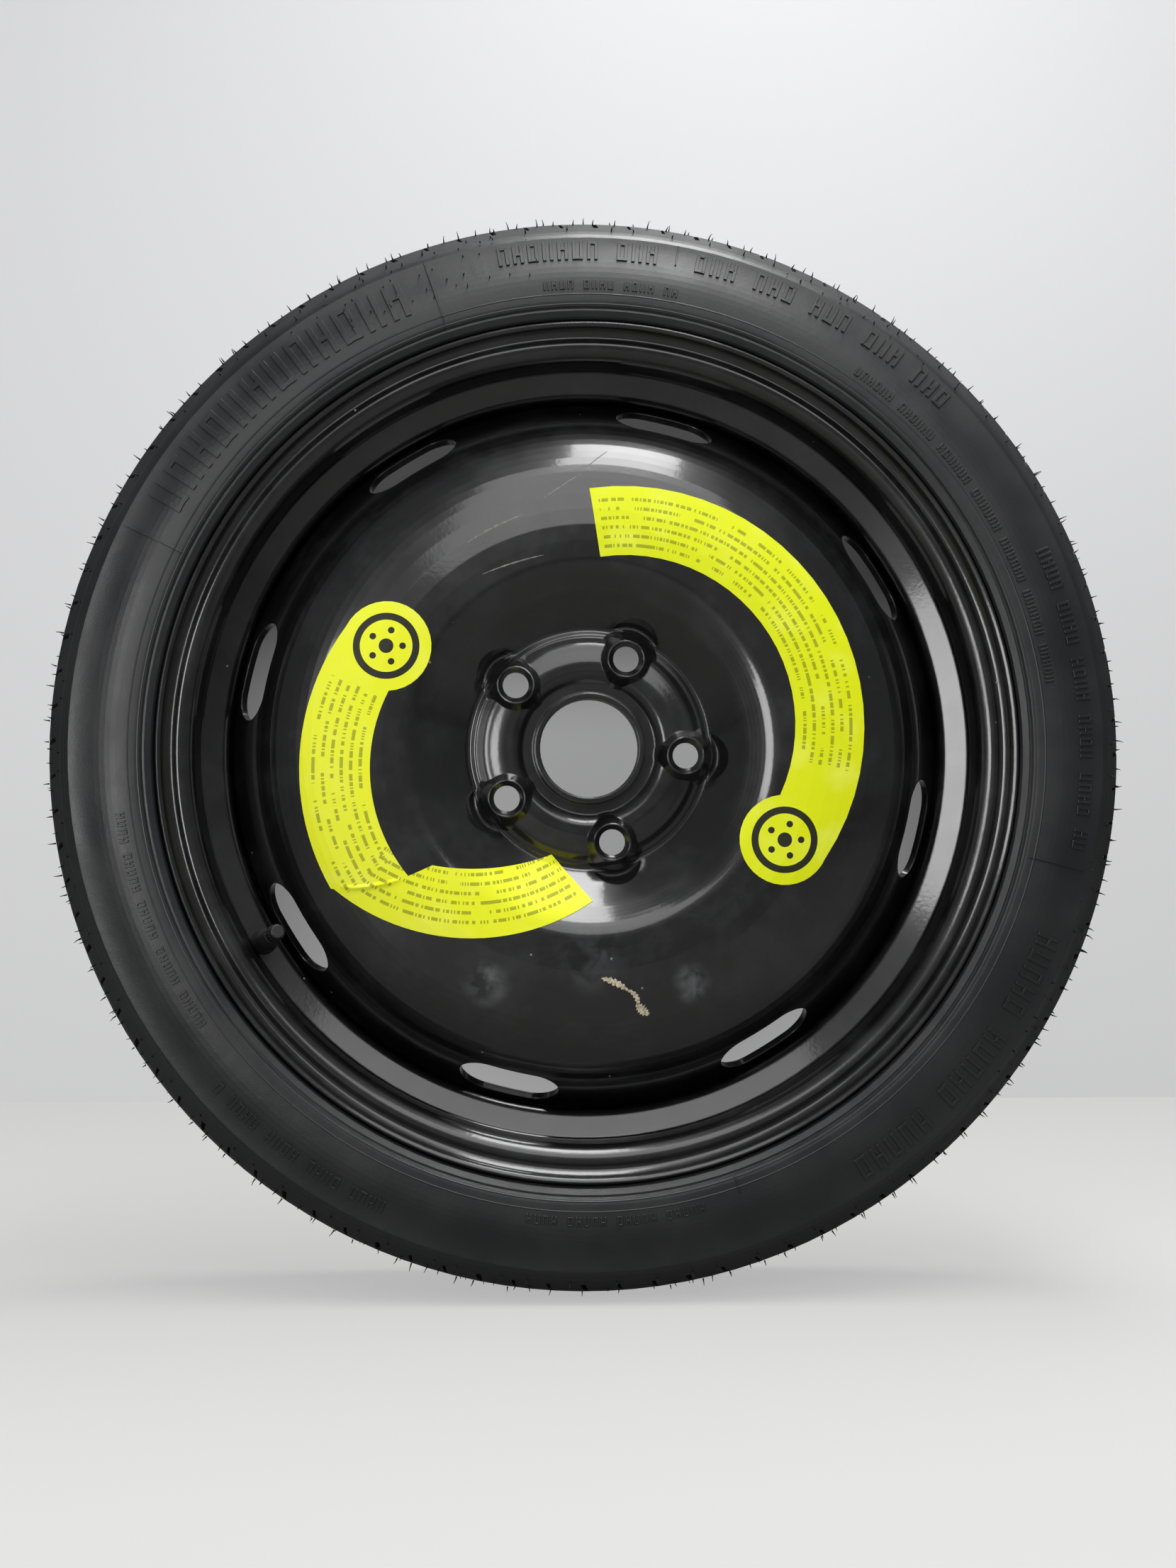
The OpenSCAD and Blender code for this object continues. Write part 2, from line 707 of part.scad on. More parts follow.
module label_left() {
    color("#eeff10") label(concat(
        arc(left_q, roundel_d / 2, cut_angle(left_c, left_q, label_r),
            cut_angle(left_c, left_q, band_r)),
        arc(left_c, band_r, meet(left_c, left_q, band_r), crease[0]),
        arc(tail_c, tail_r, tail_out[0], tail_out[1]),
        arc(tail_in_c, tail_in_r, tail_in[0], tail_in[1]),
        arc(left_c, label_r, crease[1], meet(left_c, left_q, label_r))));
}

module upright() {
    rotate([90, 0, 0]) children();
}

upright() tyre();
upright() rim_barrel();
upright() wheel_disc();
upright() weld_beads();
upright() valve_body();
upright() valve_stem();
upright() core_barrel();
upright() core_gasket();
upright() core_pin();
upright() core_cup();
upright() core_spring();
upright() valve_cap();
upright() cap_seal();
upright() label_left();
upright() label_right();
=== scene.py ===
import math
import random
import bpy
from mathutils import Matrix, Vector


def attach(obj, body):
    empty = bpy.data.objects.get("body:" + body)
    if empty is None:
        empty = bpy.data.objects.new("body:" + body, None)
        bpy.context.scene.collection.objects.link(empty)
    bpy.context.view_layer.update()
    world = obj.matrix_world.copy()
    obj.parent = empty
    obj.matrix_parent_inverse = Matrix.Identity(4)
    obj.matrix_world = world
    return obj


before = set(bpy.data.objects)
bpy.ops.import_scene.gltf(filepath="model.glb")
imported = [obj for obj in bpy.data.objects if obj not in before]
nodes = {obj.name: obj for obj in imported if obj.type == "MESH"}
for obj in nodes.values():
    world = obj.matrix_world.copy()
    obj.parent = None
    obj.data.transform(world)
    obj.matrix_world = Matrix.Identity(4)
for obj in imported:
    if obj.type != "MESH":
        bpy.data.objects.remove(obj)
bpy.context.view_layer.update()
mm = 0.001
# pieces are drawn flat, outer face up, and turned upright like the part's own modules
upright = Matrix.Rotation(math.radians(90), 4, "X")
print("frame:", len(nodes), "parts")


def hexColour(text):  # sRGB hex to the linear values that the shaders take
    parts = [int(text[i:i + 2], 16) / 255 for i in (1, 3, 5)]
    return [p / 12.92 if p <= 0.04045 else ((p + 0.055) / 1.055) ** 2.4 for p in parts] + [1.0]


def addNode(tree, kind, inputs=None, **settings):  # one node, its settings and what goes into it
    node = tree.nodes.new(kind)
    for name, value in settings.items():
        setattr(node, name, value)
    for name, value in (inputs or {}).items():
        if isinstance(value, bpy.types.NodeSocket):
            tree.links.new(value, node.inputs[name])
        else:
            node.inputs[name].default_value = value
    return node


def newMaterial(name):
    material = bpy.data.materials.new(name)
    material.use_nodes = True
    tree = material.node_tree
    place = addNode(tree, "ShaderNodeTexCoord").outputs["Object"]
    return material, tree, tree.nodes["Principled BSDF"], place


def acrossFace(tree, place):  # the place across the wheel's face, in millimetres, without its depth
    flat = addNode(tree, "ShaderNodeVectorMath", {0: place, 1: (1 / mm, 0.0, 1 / mm)}, operation="MULTIPLY")
    return flat.outputs[0]


def fromAxle(tree, place):  # distance from the axle, in millimetres
    flat = acrossFace(tree, place)
    return addNode(tree, "ShaderNodeVectorMath", {0: flat}, operation="LENGTH").outputs["Value"]


def deselectAll():
    bpy.ops.object.select_all(action="DESELECT")


def applyModifiers(piece):
    deselectAll()
    piece.select_set(True)
    bpy.context.view_layer.objects.active = piece
    for name in [m.name for m in piece.modifiers]:
        bpy.ops.object.modifier_apply(modifier=name)


def copyOf(first):
    copy = first.copy()
    copy.data = first.data.copy()
    bpy.context.collection.objects.link(copy)
    return copy


def joinCopies(name, first, copies, material):  # one piece of one material from all the copies
    bpy.data.objects.remove(first)
    deselectAll()
    for copy in copies:
        copy.select_set(True)
    piece = copies[0]
    piece.name = name
    bpy.context.view_layer.objects.active = piece
    bpy.ops.object.join()
    piece.data.materials.clear()
    piece.data.materials.append(material)
    return piece


# stoved gloss black on pressed steel: mirrors the lamps softly, with peel, dust and pale specks
paintLook = {
    "skin": "#0a0a0b", "dust": "#5c5e60", "speck": "#b9b6ae",
    "peel": 2.4 * mm, "peelDeep": 0.02 * mm, "wave": 70 * mm,
    # dust lies in patches: their size, the noise values where it begins and is full, and how much it hides
    "dustPatch": 38 * mm, "dustFrom": 0.48, "dustFull": 0.8, "dustMost": 0.10,
    # specks in Voronoi cells: cell size, share of it, share of cells without one, height and strength
    "speckGap": 15 * mm, "speckWide": 0.055, "speckless": 0.72, "speckHigh": 0.15 * mm, "speckMost": 0.35,
    "glossy": 0.28, "dull": 0.40, "edge": 1.1 * mm, "shine": 0.3, "skinCoat": 1.0, "coatGloss": 0.11,
    # dirt makes the paint duller by this, and its smears are this long
    "dirtDull": 0.35, "smear": 12 * mm,
    # soft steps that the press left round the axle: first and last radius and rise, in millimetres
    "steps": [(92, 110, 3.0), (66.0, 69.2, -1.2), (49, 61, -1.6), (235.8, 241.0, -1.6)],
    # rubbed patches on the face: across, up and radius in millimetres, and how strong, all this far out
    "rubDepth": -0.02,
    "rubs": [(-59, -134, 17, 0.9), (57, -134, 15, 0.9), (2, -120, 28, 0.35), (-30, 128, 30, 0.12)],
}


def makePaint():
    material, tree, shader, place = newMaterial("stovedBlackPaint")
    patch = addNode(tree, "ShaderNodeTexNoise",
                    {"Vector": place, "Scale": 1 / paintLook["dustPatch"], "Detail": 6.0, "Roughness": 0.7})
    dusty = addNode(tree, "ShaderNodeMapRange",
                    {"Value": patch.outputs["Fac"], "From Min": paintLook["dustFrom"],
                     "From Max": paintLook["dustFull"], "To Max": paintLook["dustMost"]})
    cells = addNode(tree, "ShaderNodeTexVoronoi", {"Vector": place, "Scale": 1 / paintLook["speckGap"]})
    near = addNode(tree, "ShaderNodeMapRange",
                   {"Value": cells.outputs["Distance"], "From Min": paintLook["speckWide"],
                    "From Max": paintLook["speckWide"] * 0.6})
    pick = addNode(tree, "ShaderNodeSeparateColor", {"Color": cells.outputs["Color"]})
    few = addNode(tree, "ShaderNodeMath", {0: pick.outputs["Red"], 1: paintLook["speckless"]},
                  operation="GREATER_THAN")
    speck = addNode(tree, "ShaderNodeMath", {0: near.outputs[0], 1: few.outputs[0]}, operation="MULTIPLY")
    smear = addNode(tree, "ShaderNodeTexNoise",
                    {"Vector": place, "Scale": 1 / paintLook["smear"], "Detail": 4.0, "Distortion": 0.5})
    streaky = addNode(tree, "ShaderNodeMapRange",
                      {"Value": smear.outputs["Fac"], "From Min": 0.4, "From Max": 0.75})
    veil = dusty
    for across, up, radius, strong in paintLook["rubs"]:
        spot = addNode(tree, "ShaderNodeVectorMath",
                       {0: place, 1: (across * mm, paintLook["rubDepth"], up * mm)}, operation="DISTANCE")
        fade = addNode(tree, "ShaderNodeMapRange",
                       {"Value": spot.outputs["Value"], "From Min": radius * mm,
                        "From Max": 0.3 * radius * mm, "To Max": strong},
                       interpolation_type="SMOOTHSTEP")
        rub = addNode(tree, "ShaderNodeMath", {0: fade.outputs[0], 1: streaky.outputs[0]},
                      operation="MULTIPLY")
        veil = addNode(tree, "ShaderNodeMath", {0: veil.outputs[0], 1: rub.outputs[0]},
                       operation="ADD", use_clamp=True)
    skin = addNode(tree, "ShaderNodeMixRGB",
                   {"Fac": veil.outputs[0], "Color1": hexColour(paintLook["skin"]),
                    "Color2": hexColour(paintLook["dust"])})
    faint = addNode(tree, "ShaderNodeMath", {0: speck.outputs[0], 1: paintLook["speckMost"]},
                    operation="MULTIPLY")
    colour = addNode(tree, "ShaderNodeMixRGB",
                     {"Fac": faint.outputs[0], "Color1": skin.outputs[0],
                      "Color2": hexColour(paintLook["speck"])})
    tree.links.new(colour.outputs[0], shader.inputs["Base Color"])
    rough = addNode(tree, "ShaderNodeMapRange",
                    {"Value": patch.outputs["Fac"], "From Min": 0.35, "From Max": 0.7,
                     "To Min": paintLook["glossy"], "To Max": paintLook["dull"]})
    # a harder clear skin lies over the black, so lamps show twice: once crisp and once as a haze
    shader.inputs["Specular IOR Level"].default_value = paintLook["shine"]
    shader.inputs["Coat Weight"].default_value = paintLook["skinCoat"]
    shader.inputs["Coat Roughness"].default_value = paintLook["coatGloss"]
    matter = addNode(tree, "ShaderNodeMath",
                     {0: veil.outputs[0], 1: paintLook["dirtDull"], 2: rough.outputs[0]},
                     operation="MULTIPLY_ADD")
    tree.links.new(matter.outputs[0], shader.inputs["Roughness"])
    # pressed sheet has no sharp edge: the paint runs round each one
    soft = addNode(tree, "ShaderNodeBevel", {"Radius": paintLook["edge"]}, samples=4)
    wave = addNode(tree, "ShaderNodeTexNoise",
                   {"Vector": place, "Scale": 1 / paintLook["wave"], "Detail": 1.0})
    radius = fromAxle(tree, place)
    height = wave
    for begin, end, rise in paintLook["steps"]:
        step = addNode(tree, "ShaderNodeMapRange",
                       {"Value": radius, "From Min": begin, "From Max": end, "To Max": rise},
                       interpolation_type="SMOOTHSTEP")
        height = addNode(tree, "ShaderNodeMath",
                         {0: height.outputs[0], 1: step.outputs[0]}, operation="ADD")
    waveBump = addNode(tree, "ShaderNodeBump",
                       {"Height": height.outputs[0], "Strength": 1.0, "Distance": 1.0 * mm,
                        "Normal": soft.outputs[0]})
    peel = addNode(tree, "ShaderNodeTexNoise",
                   {"Vector": place, "Scale": 1 / paintLook["peel"], "Detail": 1.0})
    peelBump = addNode(tree, "ShaderNodeBump",
                       {"Height": peel.outputs["Fac"], "Strength": 1.0, "Distance": paintLook["peelDeep"],
                        "Normal": waveBump.outputs[0]})
    speckBump = addNode(tree, "ShaderNodeBump",
                        {"Height": speck.outputs[0], "Strength": 1.0, "Distance": paintLook["speckHigh"],
                         "Normal": peelBump.outputs[0]})
    tree.links.new(speckBump.outputs[0], shader.inputs["Normal"])
    tree.links.new(speckBump.outputs[0], shader.inputs["Coat Normal"])
    return material


# moulded tyre rubber: matt charcoal with a fine grain, a dusty bloom and thin mould rings
rubberLook = {
    "rubber": "#191a1c", "bloom": "#29292a", "bloomPatch": 40 * mm, "bloomMost": 0.5,
    "grain": 0.9 * mm, "grainDeep": 0.05 * mm, "mottle": 9 * mm, "mottleDeep": 0.15 * mm,
    # thin mould rings: radii, half width and height in millimetres
    "rings": [255.2, 257.0, 262.6, 299.4, 302.2], "ringWide": 0.6, "ringHigh": 0.2,
    # roughness of the wall, what the bloom adds to it, and what the tread adds beyond these radii
    "wallRough": 0.34, "bloomRough": 0.14, "treadRough": 0.3, "treadFrom": 296.0, "treadFull": 303.0,
    # how far the outer wall leans back over these radii, in millimetres
    "lean": (256, 294, -5.8),
}


def makeRubber():
    material, tree, shader, place = newMaterial("mouldedTyreRubber")
    patch = addNode(tree, "ShaderNodeTexNoise",
                    {"Vector": place, "Scale": 1 / rubberLook["bloomPatch"], "Detail": 8.0})
    bloom = addNode(tree, "ShaderNodeMapRange",
                    {"Value": patch.outputs["Fac"], "From Min": 0.4, "From Max": 0.75,
                     "To Max": rubberLook["bloomMost"]})
    colour = addNode(tree, "ShaderNodeMixRGB",
                     {"Fac": bloom.outputs[0], "Color1": hexColour(rubberLook["rubber"]),
                      "Color2": hexColour(rubberLook["bloom"])})
    tree.links.new(colour.outputs[0], shader.inputs["Base Color"])
    rough = addNode(tree, "ShaderNodeMapRange",
                    {"Value": patch.outputs["Fac"], "From Min": 0.3, "From Max": 0.7,
                     "To Min": rubberLook["wallRough"],
                     "To Max": rubberLook["wallRough"] + rubberLook["bloomRough"]})
    radius = fromAxle(tree, place)
    tread = addNode(tree, "ShaderNodeMapRange",
                    {"Value": radius, "From Min": rubberLook["treadFrom"],
                     "From Max": rubberLook["treadFull"], "To Max": rubberLook["treadRough"]},
                    interpolation_type="SMOOTHSTEP")
    duller = addNode(tree, "ShaderNodeMath", {0: rough.outputs[0], 1: tread.outputs[0]}, operation="ADD")
    tree.links.new(duller.outputs[0], shader.inputs["Roughness"])
    begin, end, rise = rubberLook["lean"]
    height = addNode(tree, "ShaderNodeMapRange",
                     {"Value": radius, "From Min": begin, "From Max": end, "To Max": rise},
                     interpolation_type="SMOOTHSTEP")
    for ring in rubberLook["rings"]:
        away = addNode(tree, "ShaderNodeMath", {0: radius, 1: ring}, operation="SUBTRACT")
        away = addNode(tree, "ShaderNodeMath", {0: away.outputs[0]}, operation="ABSOLUTE")
        ridge = addNode(tree, "ShaderNodeMapRange",
                        {"Value": away.outputs[0], "From Min": rubberLook["ringWide"], "From Max": 0.0,
                         "To Max": rubberLook["ringHigh"]}, interpolation_type="SMOOTHSTEP")
        height = addNode(tree, "ShaderNodeMath",
                         {0: height.outputs[0], 1: ridge.outputs[0]}, operation="ADD")
    ringBump = addNode(tree, "ShaderNodeBump",
                       {"Height": height.outputs[0], "Strength": 1.0, "Distance": 1.0 * mm})
    mottle = addNode(tree, "ShaderNodeTexNoise",
                     {"Vector": place, "Scale": 1 / rubberLook["mottle"], "Detail": 3.0})
    mottleBump = addNode(tree, "ShaderNodeBump",
                         {"Height": mottle.outputs["Fac"], "Strength": 1.0,
                          "Distance": rubberLook["mottleDeep"], "Normal": ringBump.outputs[0]})
    grain = addNode(tree, "ShaderNodeTexNoise",
                    {"Vector": place, "Scale": 1 / rubberLook["grain"], "Detail": 2.0})
    grainBump = addNode(tree, "ShaderNodeBump",
                        {"Height": grain.outputs["Fac"], "Strength": 1.0,
                         "Distance": rubberLook["grainDeep"], "Normal": mottleBump.outputs[0]})
    tree.links.new(grainBump.outputs[0], shader.inputs["Normal"])
    return material


# self-adhesive film printed bright yellow: satin, slightly rubbed, with rows of fine dark print
labelLook = {
    "rubbed": "#eef27a", "rubbedMost": 0.35, "ink": "#646a14", "inkMost": 0.62, "sign": "#26271a",
    # print rows: millimetres between rows, share of it that is inked, and each row's shift
    "pitch": 5.4, "tall": 0.36, "rowShift": 0.37,
    # dashes, then words: their length in millimetres and the share that is printed
    "pieces": [(0.85, 0.62), (8.5, 0.9)],
    "shine": 0.22, "satin": (0.4, 0.55), "wear": 22 * mm, "ripple": 14 * mm, "rippleHigh": 0.12 * mm,
}


def makeLabel(name, film, parts, roundEnd):
    material, tree, shader, place = newMaterial(name)
    flat = acrossFace(tree, place)

    def polar(middle):  # distance and angle about a point of the label, in millimetres and radians
        arm = addNode(tree, "ShaderNodeVectorMath",
                      {0: flat, 1: (middle[0], 0.0, middle[1])}, operation="SUBTRACT")
        away = addNode(tree, "ShaderNodeVectorMath", {0: arm.outputs[0]}, operation="LENGTH")
        axes = addNode(tree, "ShaderNodeSeparateXYZ", {0: arm.outputs[0]})
        angle = addNode(tree, "ShaderNodeMath", {0: axes.outputs["Z"], 1: axes.outputs["X"]},
                        operation="ARCTAN2")
        return away.outputs["Value"], angle.outputs[0]

    inked = None
    for part in parts:
        away, angle = polar(part["centre"])
        turned = addNode(tree, "ShaderNodeMath",
                         {0: angle, 1: math.radians(part["seam"] + 360), 2: math.radians(part["seam"])},
                         operation="WRAP")
        line = addNode(tree, "ShaderNodeMapRange",
                       {"Value": away, "From Min": part["start"],
                        "From Max": part["start"] + labelLook["pitch"], "To Max": 1.0}, clamp=False)
        row = addNode(tree, "ShaderNodeMath", {0: line.outputs[0]}, operation="FLOOR")
        within = addNode(tree, "ShaderNodeMath", {0: line.outputs[0]}, operation="FRACT")
        printed = addNode(tree, "ShaderNodeMath", {0: within.outputs[0], 1: labelLook["tall"]},
                          operation="LESS_THAN")
        along = addNode(tree, "ShaderNodeMath", {0: turned.outputs[0], 1: part["start"] + 18.0},
                        operation="MULTIPLY")
        for size, share in labelLook["pieces"]:
            step = addNode(tree, "ShaderNodeMath", {0: along.outputs[0], 1: size}, operation="DIVIDE")
            shifted = addNode(tree, "ShaderNodeMath",
                              {0: row.outputs[0], 1: labelLook["rowShift"], 2: step.outputs[0]},
                              operation="MULTIPLY_ADD")
            cell = addNode(tree, "ShaderNodeMath", {0: shifted.outputs[0]}, operation="FLOOR")
            mixed = addNode(tree, "ShaderNodeCombineXYZ", {0: cell.outputs[0], 1: row.outputs[0]})
            chance = addNode(tree, "ShaderNodeTexWhiteNoise", {"Vector": mixed.outputs[0]},
                             noise_dimensions="2D")
            kept = addNode(tree, "ShaderNodeMath", {0: chance.outputs["Value"], 1: share},
                           operation="LESS_THAN")
            printed = addNode(tree, "ShaderNodeMath", {0: printed.outputs[0], 1: kept.outputs[0]},
                              operation="MULTIPLY")
        for value, limit, test in ((row.outputs[0], part["count"] - 0.5, "LESS_THAN"),
                                   (row.outputs[0], -0.5, "GREATER_THAN"),
                                   (turned.outputs[0], math.radians(part["reach"][1]), "LESS_THAN"),
                                   (turned.outputs[0], math.radians(part["reach"][0]), "GREATER_THAN")):
            allowed = addNode(tree, "ShaderNodeMath", {0: value, 1: limit}, operation=test)
            printed = addNode(tree, "ShaderNodeMath", {0: printed.outputs[0], 1: allowed.outputs[0]},
                              operation="MULTIPLY")
        inked = printed if inked is None else addNode(
            tree, "ShaderNodeMath", {0: inked.outputs[0], 1: printed.outputs[0]}, operation="MAXIMUM")
    # a plain wheel sign in the round end: a thick ring, a hub and five dots
    signAway, signAngle = polar(roundEnd["centre"])
    sector = addNode(tree, "ShaderNodeMath", {0: signAngle, 1: math.radians(36.0)}, operation="PINGPONG")
    sectorX = addNode(tree, "ShaderNodeMath", {0: sector.outputs[0]}, operation="COSINE")
    sectorZ = addNode(tree, "ShaderNodeMath", {0: sector.outputs[0]}, operation="SINE")
    dotAxes = addNode(tree, "ShaderNodeCombineXYZ", {0: sectorX.outputs[0], 1: sectorZ.outputs[0]})
    dotPlace = addNode(tree, "ShaderNodeVectorMath", {0: dotAxes.outputs[0], "Scale": signAway},
                       operation="SCALE")
    dotAway = addNode(tree, "ShaderNodeVectorMath",
                      {0: dotPlace.outputs[0], 1: (roundEnd["dotCircle"], 0.0, 0.0)}, operation="DISTANCE")
    dot = addNode(tree, "ShaderNodeMath", {0: dotAway.outputs["Value"], 1: roundEnd["dotWide"]},
                  operation="LESS_THAN")
    ringGap = addNode(tree, "ShaderNodeMath", {0: signAway, 1: roundEnd["ring"]}, operation="SUBTRACT")
    ringGap = addNode(tree, "ShaderNodeMath", {0: ringGap.outputs[0]}, operation="ABSOLUTE")
    ring = addNode(tree, "ShaderNodeMath", {0: ringGap.outputs[0], 1: roundEnd["ringWide"]},
                   operation="LESS_THAN")
    hub = addNode(tree, "ShaderNodeMath", {0: signAway, 1: roundEnd["hub"]}, operation="LESS_THAN")
    sign = addNode(tree, "ShaderNodeMath", {0: dot.outputs[0], 1: ring.outputs[0]}, operation="MAXIMUM")
    sign = addNode(tree, "ShaderNodeMath", {0: sign.outputs[0], 1: hub.outputs[0]}, operation="MAXIMUM")

    wear = addNode(tree, "ShaderNodeTexNoise",
                   {"Vector": place, "Scale": 1 / labelLook["wear"], "Detail": 7.0})
    rubbed = addNode(tree, "ShaderNodeMapRange",
                     {"Value": wear.outputs["Fac"], "From Min": 0.5, "From Max": 0.8,
                      "To Max": labelLook["rubbedMost"]})
    face = addNode(tree, "ShaderNodeMixRGB",
                   {"Fac": rubbed.outputs[0], "Color1": hexColour(film),
                    "Color2": hexColour(labelLook["rubbed"])})
    thin = addNode(tree, "ShaderNodeMath", {0: inked.outputs[0], 1: labelLook["inkMost"]},
                   operation="MULTIPLY")
    rowsOn = addNode(tree, "ShaderNodeMixRGB",
                     {"Fac": thin.outputs[0], "Color1": face.outputs[0],
                      "Color2": hexColour(labelLook["ink"])})
    signOn = addNode(tree, "ShaderNodeMixRGB",
                     {"Fac": sign.outputs[0], "Color1": rowsOn.outputs[0],
                      "Color2": hexColour(labelLook["sign"])})
    tree.links.new(signOn.outputs[0], shader.inputs["Base Color"])
    shader.inputs["Specular IOR Level"].default_value = labelLook["shine"]
    rough = addNode(tree, "ShaderNodeMapRange",
                    {"Value": wear.outputs["Fac"], "From Min": 0.3, "From Max": 0.7,
                     "To Min": labelLook["satin"][0], "To Max": labelLook["satin"][1]})
    tree.links.new(rough.outputs[0], shader.inputs["Roughness"])
    ripple = addNode(tree, "ShaderNodeTexNoise",
                     {"Vector": place, "Scale": 1 / labelLook["ripple"], "Detail": 1.0})
    bump = addNode(tree, "ShaderNodeBump",
                   {"Height": ripple.outputs["Fac"], "Strength": 1.0, "Distance": labelLook["rippleHigh"]})
    tree.links.new(bump.outputs[0], shader.inputs["Normal"])
    return material


# small parts of the valve: one grain each, at the size that their making leaves
smallLooks = {
    "turnedBrass": {"colour": "#b8974a", "worn": "#8d7440", "metallic": 1.0, "roughness": (0.24, 0.4),
                    "grain": 0.5 * mm, "depth": 0.01 * mm},
    "mouldedValveRubber": {"colour": "#141516", "worn": "#222222", "metallic": 0.0,
                           "roughness": (0.45, 0.6), "grain": 0.6 * mm, "depth": 0.03 * mm},
    "mouldedCapPlastic": {"colour": "#111112", "worn": "#1e1e1e", "metallic": 0.0,
                          "roughness": (0.35, 0.5), "grain": 0.4 * mm, "depth": 0.02 * mm},
    "redSealRubber": {"colour": "#7a2f2a", "worn": "#63241f", "metallic": 0.0,
                      "roughness": (0.5, 0.65), "grain": 0.3 * mm, "depth": 0.01 * mm},
    "drawnSpringSteel": {"colour": "#a9a9a6", "worn": "#7f7f7b", "metallic": 1.0,
                         "roughness": (0.22, 0.35), "grain": 0.2 * mm, "depth": 0.005 * mm},
}


def makeSmall(name, look):
    material, tree, shader, place = newMaterial(name)
    grain = addNode(tree, "ShaderNodeTexNoise",
                    {"Vector": place, "Scale": 1 / look["grain"], "Detail": 3.0})
    colour = addNode(tree, "ShaderNodeMixRGB",
                     {"Fac": grain.outputs["Fac"], "Color1": hexColour(look["colour"]),
                      "Color2": hexColour(look["worn"])})
    tree.links.new(colour.outputs[0], shader.inputs["Base Color"])
    shader.inputs["Metallic"].default_value = look["metallic"]
    rough = addNode(tree, "ShaderNodeMapRange",
                    {"Value": grain.outputs["Fac"], "From Min": 0.3, "From Max": 0.7,
                     "To Min": look["roughness"][0], "To Max": look["roughness"][1]})
    tree.links.new(rough.outputs[0], shader.inputs["Roughness"])
    bump = addNode(tree, "ShaderNodeBump",
                   {"Height": grain.outputs["Fac"], "Strength": 1.0, "Distance": look["depth"]})
    tree.links.new(bump.outputs[0], shader.inputs["Normal"])
    return material


paint = makePaint()
rubber = makeRubber()
# radii of the sign's parts in millimetres, and half the width of its ring
wheelSign = {"dotCircle": 9.4, "dotWide": 1.9, "ring": 17.0, "ringWide": 2.0, "hub": 4.2}
# each printed part: the centre of its rows, its first row's radius, how many, and the angles it covers
rightLabel = makeLabel(
    "yellowFilmRight", "#d6df10",
    [{"centre": (20.4, 13.2), "start": 101.5, "count": 6, "seam": -90, "reach": (-12, 97)}],
    wheelSign | {"centre": (110.8, -53.2)})
# the left film is paler and brighter than the right one: painted light for the stronger light from the left
leftLabel = makeLabel(
    "yellowFilmLeft", "#e3e822",
    [{"centre": (-28.6, -12.3), "start": 101.5, "count": 6, "seam": 0, "reach": (156, 213)},
     {"centre": (-67.6, 15.4), "start": 87.5, "count": 6, "seam": 0, "reach": (236, 301)}],
    wheelSign | {"centre": (-116.8, 57.1)})
small = {name: makeSmall(name, look) for name, look in smallLooks.items()}
finishes = {
    "wheel_disc": paint, "rim_barrel": paint, "weld_beads": paint, "tyre": rubber,
    "label_right": rightLabel, "label_left": leftLabel, "valve_body": small["mouldedValveRubber"],
    "valve_stem": small["turnedBrass"], "core_barrel": small["turnedBrass"],
    "core_pin": small["turnedBrass"], "core_gasket": small["redSealRubber"],
    "core_cup": small["mouldedValveRubber"], "core_spring": small["drawnSpringSteel"],
    "valve_cap": small["mouldedCapPlastic"], "cap_seal": small["mouldedValveRubber"],
}
for name, material in finishes.items():
    for slot in nodes[name].material_slots:
        slot.material = material
print("finishes:", len(finishes), "parts covered")


def dropOn(piece, target, lift):  # lowered along the axle on to the surface under it
    piece.data.transform(Matrix.Translation((0, -0.2, 0)) @ upright)
    drop = piece.modifiers.new("drop", "SHRINKWRAP")
    drop.target = target
    drop.wrap_method = "PROJECT"
    drop.use_project_y = True
    drop.use_positive_direction = True
    drop.use_negative_direction = False
    drop.offset = lift


# raised strokes on the tyre's outer wall, where a mould leaves its marks, and its radial ridges
strokeLook = {
    "high": 0.9 * mm, "edge": 0.3 * mm,
    # middle radius, height, stroke width, pitch, first and last angle, strokes in a word
    "bands": [
        (280, 21, 3.4, 15.5, 151, 112, 30),
        (288, 11, 2.0, 8.6, 101, 82, 7),
        (288, 11, 2.0, 8.6, 78, 44, 3),
        (286, 8, 1.5, 6.6, 24, -12, 4),
        (284, 13, 2.2, 10.0, -22, -58, 5),
        (268, 5, 1.1, 4.6, 96, 79, 4),
        (268, 5, 1.1, 4.6, 55, 8, 6),
        (269, 5, 1.1, 4.6, 216, 188, 5),
        (268, 5, 1.1, 4.6, 284, 262, 5),
        (284, 7, 1.3, 5.6, 246, 222, 4),
    ],
    # how much of its pitch a figure fills, how far apart its two uprights stand in it, and their bars
    "fill": 0.68, "apart": 0.72, "barWide": 0.8, "barLong": 0.7,
    # where a figure's crossbars lie between its foot and its head
    "bars": [(-0.42,), (0.42,), (0.0,), (-0.42, 0.42), (), (0.1,)],
    # inner and outer radius and angle of each ridge, and their width
    "ridges": [(258, 294, 154.7), (256, 296, 109), (284, 296, 80), (256, 266, -71.5), (260, 292, -14)],
    "ridgeWide": 0.9, "sink": -0.05 * mm,
}


